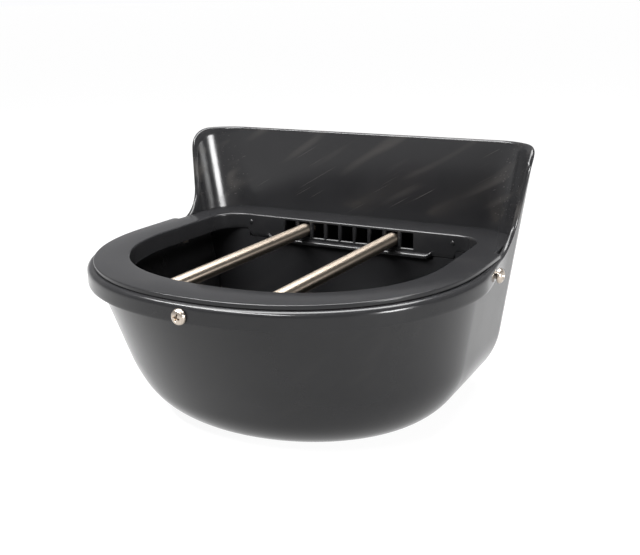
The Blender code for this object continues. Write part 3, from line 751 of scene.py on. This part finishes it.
def pip(x):
    profile = [(0, -PIP_STANDS), (0.6 * PIP_R, -0.9 * MM), (0.9 * PIP_R, -0.4 * MM)]
    profile += [(PIP_R, PIP_ROOT), (0, PIP_ROOT)]
    return turned(profile, "Y", (x, OPEN_BACK, PIP_Z), PIP_STEPS)


for x in (-PIP_X, PIP_X):
    combine(plate, "UNION", pip(x))
print("pips at", round(PIP_X / MM, 1), "mm on both sides")

# %% [markdown]
# ## Colours and nodes
# Paint and plastic colours are usually written as sRGB hex values, while Blender's shaders want linear
# light. One function does that conversion. A second one adds a node, sets its values and links its inputs,
# and serves every node in this file.

# %% Two helpers for materials


def linear(hex_colour):
    """An sRGB hex colour as linear RGBA."""
    parts = [int(hex_colour[i : i + 2], 16) / 255 for i in (1, 3, 5)]
    return (*[c / 12.92 if c <= 0.04045 else ((c + 0.055) / 1.055) ** 2.4 for c in parts], 1.0)


def add_node(finish, kind, values=(), links=()):
    """Adds one node to a material. Values are (name, value) pairs, links are (input, output) pairs."""
    node = finish.node_tree.nodes.new(kind)
    for name, value in values:
        if isinstance(name, str) and hasattr(node, name):
            setattr(node, name, value)
        else:
            node.inputs[name].default_value = value
    for name, output in links:
        finish.node_tree.links.new(output, node.inputs[name])
    return node


def new_finish(name):
    """A material with only a Principled shader and its output."""
    finish = bpy.data.materials.new(name)
    finish.use_nodes = True
    return finish, finish.node_tree.nodes["Principled BSDF"]


print("black plastic #161617 is", [round(v, 4) for v in linear("#161617")[:3]], "in linear light")

# %% [markdown]
# ## Black polypropylene, injection moulded
# Polypropylene with carbon black is nearly black inside and takes its look from the surface. A polished mould
# leaves a soft gloss, slow flow marks change that gloss from place to place, and handling adds fine hair
# scratches that run aslant, mostly on the splash wall. One noise, stretched along a slanting line, gives
# wide streaks of painted sheen, where the flow marks catch the light, and a finer one gives the hairs. Its
# refractive index is about 1.49.

# %% Moulded black polypropylene
GRAIN = 0.7 * MM          # mould texture, drawn a little coarse so that it shows
FLOW = 45 * MM            # flow marks
SHEEN_STREAK = 14 * MM          # width of the streaks of painted sheen
HAIR = 0.9 * MM           # width of the hair scratches, drawn coarse so that they show
SLANT = radians(-30)      # the scratches climb to the right
SHEEN_STREAKS_AND_HAIRS = (                # painted sheen streaks, then real hair scratches: width, length over width, and the part of the noise that shows
    (SHEEN_STREAK, 7.0, (0.56, 0.75)),
    (HAIR, 90.0, (0.70, 0.76)),
)


def sheen_streaks_and_hairs(finish, place):
    """Painted sheen streaks and real hair scratches together, strong on the splash wall and faint below the
    rim.
    """
    marks = []
    for width, long, (low, high) in SHEEN_STREAKS_AND_HAIRS:
        slanting = add_node(
            finish, "ShaderNodeMapping",
            [("vector_type", "TEXTURE"), ("Rotation", (0.0, SLANT, 0.0)), ("Scale", (long, 1.0, 1.0))],
            [("Vector", place)]).outputs["Vector"]
        drawn = add_node(
            finish, "ShaderNodeTexNoise", [("Scale", 1 / width), ("Detail", 1.0)],
            [("Vector", slanting)]).outputs["Fac"]
        marks.append(add_node(
            finish, "ShaderNodeMapRange", [("From Min", low), ("From Max", high)],
            [("Value", drawn)]).outputs["Result"])
    both = add_node(
        finish, "ShaderNodeMath", [("operation", "MULTIPLY_ADD"), ("use_clamp", True), (1, 0.5)],
        [(0, marks[0]), (2, marks[1])]).outputs["Value"]
    height = add_node(finish, "ShaderNodeSeparateXYZ", links=[("Vector", place)]).outputs["Z"]
    on_wall = add_node(
        finish, "ShaderNodeMapRange",
        [("From Min", RIM_Z), ("From Max", RIM_Z + 15 * MM), ("To Min", 0.12), ("To Max", 1.0)],
        [("Value", height)]).outputs["Result"]
    return add_node(
        finish, "ShaderNodeMath", [("operation", "MULTIPLY")],
        [(0, both), (1, on_wall)]).outputs["Value"]


print("streaks", round(SHEEN_STREAK / MM, 1), "mm wide, hairs", round(HAIR / MM, 1), "mm")

# %% [markdown]
# The marks now change two things. Where they lie the colour is a little paler, which is painted sheen along
# the wide streaks and, along the hairs, skin that scatters light where it was abraded; and a little rougher,
# so that they show as a soft smear inside a reflection. The flow marks vary the gloss underneath, and two
# bumps give the mould's grain and the slow ripple of a thick wall. The specular level is below Blender's
# own, matched to how weakly this black skin mirrors the studio.

# %% Colour, gloss and surface of the polypropylene
CLEAN_GLOSS = (0.14, 0.22)    # roughness of the clean skin, from flow mark to flow mark
STREAK_AND_HAIR_ROUGHER = 0.16
# How much paler the marks are: painted sheen on the wide streaks, abraded skin on the hair scratches.
SHEEN_AND_HAIR_PALER = 0.5


def moulded_polypropylene():
    finish, shader = new_finish("moulded_polypropylene_black")
    place = add_node(finish, "ShaderNodeTexCoord").outputs["Object"]
    sheen_and_hairs = sheen_streaks_and_hairs(finish, place)
    flow = add_node(
        finish, "ShaderNodeTexNoise", [("Scale", 1 / FLOW), ("Detail", 4.0), ("Roughness", 0.6)],
        [("Vector", place)]).outputs["Fac"]
    base = add_node(
        finish, "ShaderNodeMix",
        [("data_type", "RGBA"), (6, linear("#161617")), (7, linear("#1d1d1e"))],
        [(0, flow)]).outputs[2]
    # Painted sheen: the colour is lifted towards grey along the wide streaks, and along the real hair
    # scratches.
    sheen_and_hair_pale = add_node(
        finish, "ShaderNodeMapRange", [("To Max", SHEEN_AND_HAIR_PALER)], [("Value", sheen_and_hairs)]).outputs["Result"]
    colour = add_node(
        finish, "ShaderNodeMix", [("data_type", "RGBA"), (7, linear("#4a4744"))],
        [(0, sheen_and_hair_pale), (6, base)])
    clean = add_node(
        finish, "ShaderNodeMapRange",
        [("From Min", 0.3), ("From Max", 0.7), ("To Min", CLEAN_GLOSS[0]), ("To Max", CLEAN_GLOSS[1])],
        [("Value", flow)]).outputs["Result"]
    gloss = add_node(
        finish, "ShaderNodeMath", [("operation", "MULTIPLY_ADD"), (1, STREAK_AND_HAIR_ROUGHER)],
        [(0, sheen_and_hairs), (2, clean)])
    grain = add_node(
        finish, "ShaderNodeTexNoise", [("Scale", 1 / GRAIN), ("Detail", 2.0)],
        [("Vector", place)]).outputs["Fac"]
    bump = add_node(
        finish, "ShaderNodeBump", [("Strength", 0.10), ("Distance", 0.03 * MM)], [("Height", grain)])
    ripple = add_node(
        finish, "ShaderNodeBump", [("Strength", 0.20), ("Distance", 0.25 * MM)],
        [("Height", flow), ("Normal", bump.outputs["Normal"])])
    links = finish.node_tree.links
    links.new(colour.outputs[2], shader.inputs["Base Color"])
    links.new(gloss.outputs["Value"], shader.inputs["Roughness"])
    links.new(ripple.outputs["Normal"], shader.inputs["Normal"])
    shader.inputs["IOR"].default_value = 1.49
    shader.inputs["Specular IOR Level"].default_value = 0.28
    return finish


POLYPROPYLENE = moulded_polypropylene()
for moulding in (bowl, plate):
    moulding.data.materials.clear()
    moulding.data.materials.append(POLYPROPYLENE)
print("made", POLYPROPYLENE.name)

# %% [markdown]
# ## Stainless steel, ground and turned
# The bars are centreless-ground 304 stainless: fine lines run round them, so that light is smeared along the
# bar and stays a narrow line across it. That is an anisotropic gloss whose tangent runs round the Y axis.
# The screws and nuts are the same steel, turned and tumbled, with a softer gloss that is alike all ways.

# %% Ground and turned stainless steel
TARNISH = 18 * MM         # size of the dull patches that handling leaves
GLOSS_SPREAD = 0.06       # how much the roughness changes from line to line


def stainless(name, stretch, roughness, spacing, light, dark):
    """Stainless steel whose tool lines lie this far apart and are drawn out along one axis by stretch."""
    finish, shader = new_finish(name)
    place = add_node(finish, "ShaderNodeTexCoord").outputs["Object"]
    lines = add_node(finish, "ShaderNodeMapping", [("Scale", stretch)], [("Vector", place)])
    drawn = add_node(
        finish, "ShaderNodeTexNoise", [("Scale", 1 / spacing), ("Detail", 4.0), ("Roughness", 0.65)],
        [("Vector", lines.outputs["Vector"])]).outputs["Fac"]
    tarnish = add_node(
        finish, "ShaderNodeTexNoise", [("Scale", 1 / TARNISH), ("Detail", 3.0)],
        [("Vector", place)]).outputs["Fac"]
    grooves = add_node(
        finish, "ShaderNodeMapRange", [("From Min", 0.35), ("From Max", 0.65), ("To Max", 0.6)],
        [("Value", drawn)]).outputs["Result"]
    shade = add_node(
        finish, "ShaderNodeMath", [("operation", "MULTIPLY_ADD"), ("use_clamp", True), (1, 0.5)],
        [(0, tarnish), (2, grooves)]).outputs["Value"]
    colour = add_node(
        finish, "ShaderNodeMix", [("data_type", "RGBA"), (6, linear(light)), (7, linear(dark))],
        [(0, shade)])
    gloss = add_node(
        finish, "ShaderNodeMapRange",
        [("From Min", 0.3), ("From Max", 0.7),
         ("To Min", roughness - GLOSS_SPREAD), ("To Max", roughness + GLOSS_SPREAD)],
        [("Value", drawn)])
    bump = add_node(
        finish, "ShaderNodeBump", [("Strength", 0.35), ("Distance", 0.03 * MM)], [("Height", drawn)])
    links = finish.node_tree.links
    links.new(colour.outputs[2], shader.inputs["Base Color"])
    links.new(gloss.outputs["Result"], shader.inputs["Roughness"])
    links.new(bump.outputs["Normal"], shader.inputs["Normal"])
    shader.inputs["Metallic"].default_value = 1.0
    return finish


GROUND_LINES = 0.5 * MM   # grinding lines, drawn much coarser than they are so that they show
TURNED_LINES = 0.6 * MM   # the same for the tool marks of turning
ROUND_Y = (0.05, 1.0, 0.05)   # close together along Y, drawn out round it
EVEN = (1.0, 1.0, 1.0)
GROUND_STEEL = stainless("ground_stainless_steel", ROUND_Y, 0.40, GROUND_LINES, "#968c80", "#71685e")
TURNED_STEEL = stainless("turned_stainless_steel", EVEN, 0.30, TURNED_LINES, "#cdc3b6", "#a0958a")
print("made", GROUND_STEEL.name, "and", TURNED_STEEL.name)

# %% [markdown]
# A ground bar shines differently along and across its length. The tangent tells the shader which way the
# lines run: round the Y axis, which is the way that both bars point.

# %% Direction of the grinding lines
ground_shader = GROUND_STEEL.node_tree.nodes["Principled BSDF"]
ground_shader.inputs["Anisotropic"].default_value = 0.85
ground_shader.inputs["Anisotropic Rotation"].default_value = 0.25
round_bar = add_node(GROUND_STEEL, "ShaderNodeTangent", [("direction_type", "RADIAL"), ("axis", "Y")])
GROUND_STEEL.node_tree.links.new(round_bar.outputs["Tangent"], ground_shader.inputs["Tangent"])
print("lines run round the", round_bar.axis, "axis")

# %% [markdown]
# ## Guard bars
# Each bar is 12 mm round stock, cut to length, with a small chamfer at its ends that takes off the burr.
# A cylinder with a bevel would do, but a turned profile gives the chamfer and the shaft in one closed mesh.
# It takes its place and its length from the working model's bar.

# %% Make the bars
BAR_CHAMFER = 0.8 * MM
BAR_SOFT = 0.2 * MM       # a second, steeper step that rounds the chamfer
BAR_STEPS = 96


def guard_bar(node, name):
    low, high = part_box(node)
    radius = (high.z - low.z) / 2
    length = high.y - low.y
    end = [(0, 0), (radius - BAR_CHAMFER, 0), (radius - BAR_SOFT, BAR_CHAMFER * 0.6), (radius, BAR_CHAMFER)]
    profile = end + [(away, length - along) for away, along in reversed(end)]
    bar = object_from(name, turned(profile, "Y", (middle(node).x, low.y, middle(node).z), BAR_STEPS))
    bar.data.materials.append(GROUND_STEEL)
    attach(bar, "bowl_body")
    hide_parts(node)
    return bar


for node in ("guard_bar_left", "guard_bar_right"):
    bar = guard_bar(node, node + "_ground")
    print(bar.name, [round(v / MM, 1) for v in bar.dimensions], "mm")

# %% [markdown]
# ## Pan-head screws
# A pan head is a flat dome with a rounded shoulder. Head and shank are turned here from one profile, and the
# shank keeps the length of the frame's screw. Its thread is left out, since lug and nut hide it.

# %% Profile of the screw
HEAD_DOME = ((0, 0), (2.4, 0.08), (3.8, 0.35), (4.8, 0.85), (5.5, 1.6), (5.9, 2.5), (6.0, 3.2), (6.0, 3.8))
HEAD_R = 6.0 * MM
HEAD_HIGH = 4.0 * MM
HEAD_EDGE = 0.2 * MM      # the small step in under the head
SHANK_R = 2.9 * MM
SHANK_TIP = 0.5 * MM      # chamfer at the tip


def screw_profile(length):
    """Down the dome and shoulder, along the shank to its chamfered tip."""
    points = [(r * MM, z * MM) for r, z in HEAD_DOME]
    points += [(HEAD_R - HEAD_EDGE, HEAD_HIGH), (SHANK_R, HEAD_HIGH), (SHANK_R, length - SHANK_TIP)]
    return points + [(SHANK_R - SHANK_TIP, length), (0, length)]


print("head", round(2 * HEAD_R / MM, 1), "mm wide and", round(HEAD_HIGH / MM, 1), "mm high")

# %% [markdown]
# A punch presses the cross into the real head; two wedges cut it here, one after the other, because they
# cross. Each screw then turns to the way that it is driven, with the cross a little askew, since a screw
# stops wherever it is tight.

# %% Press in the cross and place the screws
RECESS_LONG = 3.1 * MM
RECESS_THIN = 0.75 * MM
RECESS_DEEP = 2.0 * MM
RECESS_TAPER = (1.25, 0.55)   # share of its width outside the head and at the bottom
ASKEW = radians(20)


def wedge(long_y, long_z):
    """One bar of the cross: wide at the head's face and narrow at the bottom, along +X."""
    rows = []
    for x, share in zip((-1 * MM, RECESS_DEEP), RECESS_TAPER):
        y, z = long_y * share, long_z * share
        rows.append([(x, -y, -z), (x, y, -z), (x, y, z), (x, -y, z)])
    return lattice(rows)


def pan_head_screw(node, heading):
    """Heading turns a screw that points along +X to the way that it is driven."""
    low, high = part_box(node)
    length = max(high.x - low.x, high.y - low.y)
    screw = object_from(node + "_turned", turned(screw_profile(length), "X"))
    combine(screw, "DIFFERENCE", wedge(RECESS_LONG, RECESS_THIN))
    combine(screw, "DIFFERENCE", wedge(RECESS_THIN, RECESS_LONG))
    start = middle(node)
    if node == "front_screw":
        start.y = low.y
    else:
        start.x = low.x if heading == 0 else high.x
    tilt = Matrix.Rotation(ASKEW, 4, "X")
    screw.data.transform(Matrix.Translation(start) @ Matrix.Rotation(heading, 4, "Z") @ tilt)
    screw.data.materials.append(TURNED_STEEL)
    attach(screw, "bowl_body")
    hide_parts(node)
    return screw


for node, heading in (("front_screw", pi / 2), ("left_screw", 0), ("right_screw", pi)):
    screw = pan_head_screw(node, heading)
    print(screw.name, len(screw.data.polygons), "faces")

# %% [markdown]
# ## Finishes of the small parts
# The pieces that keep their plain shape get their finish through the record's material slots. Their colour
# is flat, as it is on small new parts, and each has a cloudy gloss, because nothing that has been handled
# shines evenly. Blender's own refractive index of 1.5 is typical for these plastics and rubbers.

# %% Make the plain finishes
CLOUD = 4 * MM            # size of the clouds in the gloss
CLOUDY = 0.06             # how much they change the roughness


def plain_finish(name, hex_colour, roughness, metallic=0.0):
    finish, shader = new_finish(name)
    place = add_node(finish, "ShaderNodeTexCoord").outputs["Object"]
    cloud = add_node(
        finish, "ShaderNodeTexNoise", [("Scale", 1 / CLOUD), ("Detail", 4.0)], [("Vector", place)])
    gloss = add_node(
        finish, "ShaderNodeMapRange", [("To Min", roughness - CLOUDY), ("To Max", roughness + CLOUDY)],
        [("Value", cloud.outputs["Fac"])])
    finish.node_tree.links.new(gloss.outputs["Result"], shader.inputs["Roughness"])
    shader.inputs["Base Color"].default_value = linear(hex_colour)
    shader.inputs["Metallic"].default_value = metallic
    return finish


FINISHES = {
    "stainless_steel": TURNED_STEEL,
    "moulded_black": POLYPROPYLENE,
    # Turned brass: a dull yellow metal with a fairly sharp gloss, a little browned by air.
    "brass": plain_finish("turned_brass", "#b8995e", 0.28, 1.0),
    # Moulded rubber with carbon black: dark, with hardly any shine.
    "rubber": plain_finish("moulded_rubber_black", "#1b1b1b", 0.7),
    # Moulded acetal: a waxy, dense white that shines softly.
    "acetal_white": plain_finish("moulded_acetal_white", "#e4e2dc", 0.35),
    # Moulded polyethylene: a strong flat blue, softer in gloss than acetal.
    "float_blue": plain_finish("moulded_polyethylene_blue", "#2f5f9f", 0.4),
    # Moulded rubber without much black: a chalky grey.
    "bung_grey": plain_finish("moulded_rubber_grey", "#4a4a4d", 0.6),
}
print("finishes:", ", ".join(finish.name for finish in FINISHES.values()))

# %% [markdown]
# The record says which slot each node belongs to, so one loop finishes every piece of the working model,
# with nothing listed twice.

# %% Assign the finishes
for part in frame["record"]["subparts"]:
    node = frame["nodes"][part["node"]]
    node.data.materials.clear()
    node.data.materials.append(FINISHES[part["material_slot"]])

# %% [markdown]
# ## Studio
# A glossy black object shows its surroundings more than its own colour. The surround is bright at the
# horizon and dimmer above, so that the tall splash wall stays dark.

# %% Surround
HORIZON = (0.01, 0.12)    # sine of the angle at which the light starts and ends falling off
BRIGHT = 1.0
DIM = 0.36
scene = bpy.context.scene
scene.view_settings.view_transform = "Standard"
world = bpy.data.worlds.new("studio")
scene.world = world
world.use_nodes = True
direction = add_node(world, "ShaderNodeTexCoord").outputs["Generated"]
upward = add_node(world, "ShaderNodeSeparateXYZ", links=[("Vector", direction)]).outputs["Z"]
dimmed = add_node(
    world, "ShaderNodeMapRange",
    [("From Min", HORIZON[0]), ("From Max", HORIZON[1]), ("To Min", BRIGHT), ("To Max", DIM)],
    [("Value", upward)]).outputs["Result"]
background = world.node_tree.nodes["Background"]
background.inputs["Color"].default_value = linear("#fdfdff")
world.node_tree.links.new(dimmed, background.inputs["Strength"])
print("surround:", BRIGHT, "at the horizon,", DIM, "above")

# %% [markdown]
# The floor is a pale light table. Its own light keeps the shadow under the bowl faint and puts a soft sheen
# on the lower walls. It reaches the horizon, and lies just below the bowl's foot so that the two don't fight.

# %% Floor
FLOOR_HALF = 60.0         # metres
FLOOR_DROP = 0.2 * MM
floor_shape = bmesh.new()
bmesh.ops.create_grid(floor_shape, x_segments=1, y_segments=1, size=FLOOR_HALF)
floor = object_from("floor", floor_shape)
floor.location.z = -FLOOR_DROP
floor_finish, floor_shader = new_finish("pale_light_table")
floor_shader.inputs["Base Color"].default_value = linear("#505050")
floor_shader.inputs["Roughness"].default_value = 0.9
floor_shader.inputs["Emission Color"].default_value = linear("#ffffff")
floor_shader.inputs["Emission Strength"].default_value = 0.93
floor.data.materials.append(floor_finish)
print("floor", round(2 * FLOOR_HALF), "m across")

# %% [markdown]
# ## Lights
# Three soft boxes draw the reflections that show the form. The long one overhead lights the flat top of the
# plate, a narrow strip in front of it draws the white line along the rim's shoulder, and a small box low on
# the right draws the lines along the bars and the upright band of light in the left wing's corner.

# %% Soft boxes
SOFT_BOXES = (            # name, place and aim in metres, width and depth in metres, watts
    ("overhead_box", (-0.05, 0.05, 1.1), (0, 0, 0.1), (1.4, 0.55), 46.0),
    ("right_box", (1.2, -0.30, 0.30), (0, 0, 0.13), (0.35, 0.22), 16.0),
    ("shoulder_strip", (-0.35, -0.62, 1.05), (0, 0, 0.13), (1.4, 0.12), 32.0),
)


def soft_box(name, place, aim, size, power):
    lamp = bpy.data.lights.new(name, "AREA")
    lamp.shape = "RECTANGLE"
    lamp.size, lamp.size_y = size
    lamp.energy = power
    made = bpy.data.objects.new(name, lamp)
    made.location = place
    made.rotation_mode = "QUATERNION"
    made.rotation_quaternion = (Vector(aim) - Vector(place)).to_track_quat("-Z", "Y")
    scene.collection.objects.link(made)


for box in SOFT_BOXES:
    soft_box(*box)
    print(box[0], "made,", box[-1], "W")

# %% [markdown]
# ## Camera
# The camera stands in front and to the right, a little above, where the whole opening can be seen. A longish
# lens keeps the D from looking stretched. Three angles set its direction: round the bowl, down, and a roll.

# %% Camera
AZIMUTH = radians(29.457)
PITCH = radians(16.149)
ROLL = radians(-1.274)
CAMERA_PLACE = (0.40565, -0.65994, 0.33774)
camera_data = bpy.data.cameras.new("camera")
camera_data.lens = 54.94
camera_data.sensor_width = 36.0
camera = bpy.data.objects.new("camera", camera_data)
turn = Matrix.Rotation(AZIMUTH, 4, "Z") @ Matrix.Rotation(pi / 2 - PITCH, 4, "X")
camera.matrix_world = Matrix.Translation(CAMERA_PLACE) @ turn @ Matrix.Rotation(ROLL, 4, "Z")
scene.collection.objects.link(camera)
scene.camera = camera
print("camera at", [round(v, 3) for v in camera.matrix_world.translation])
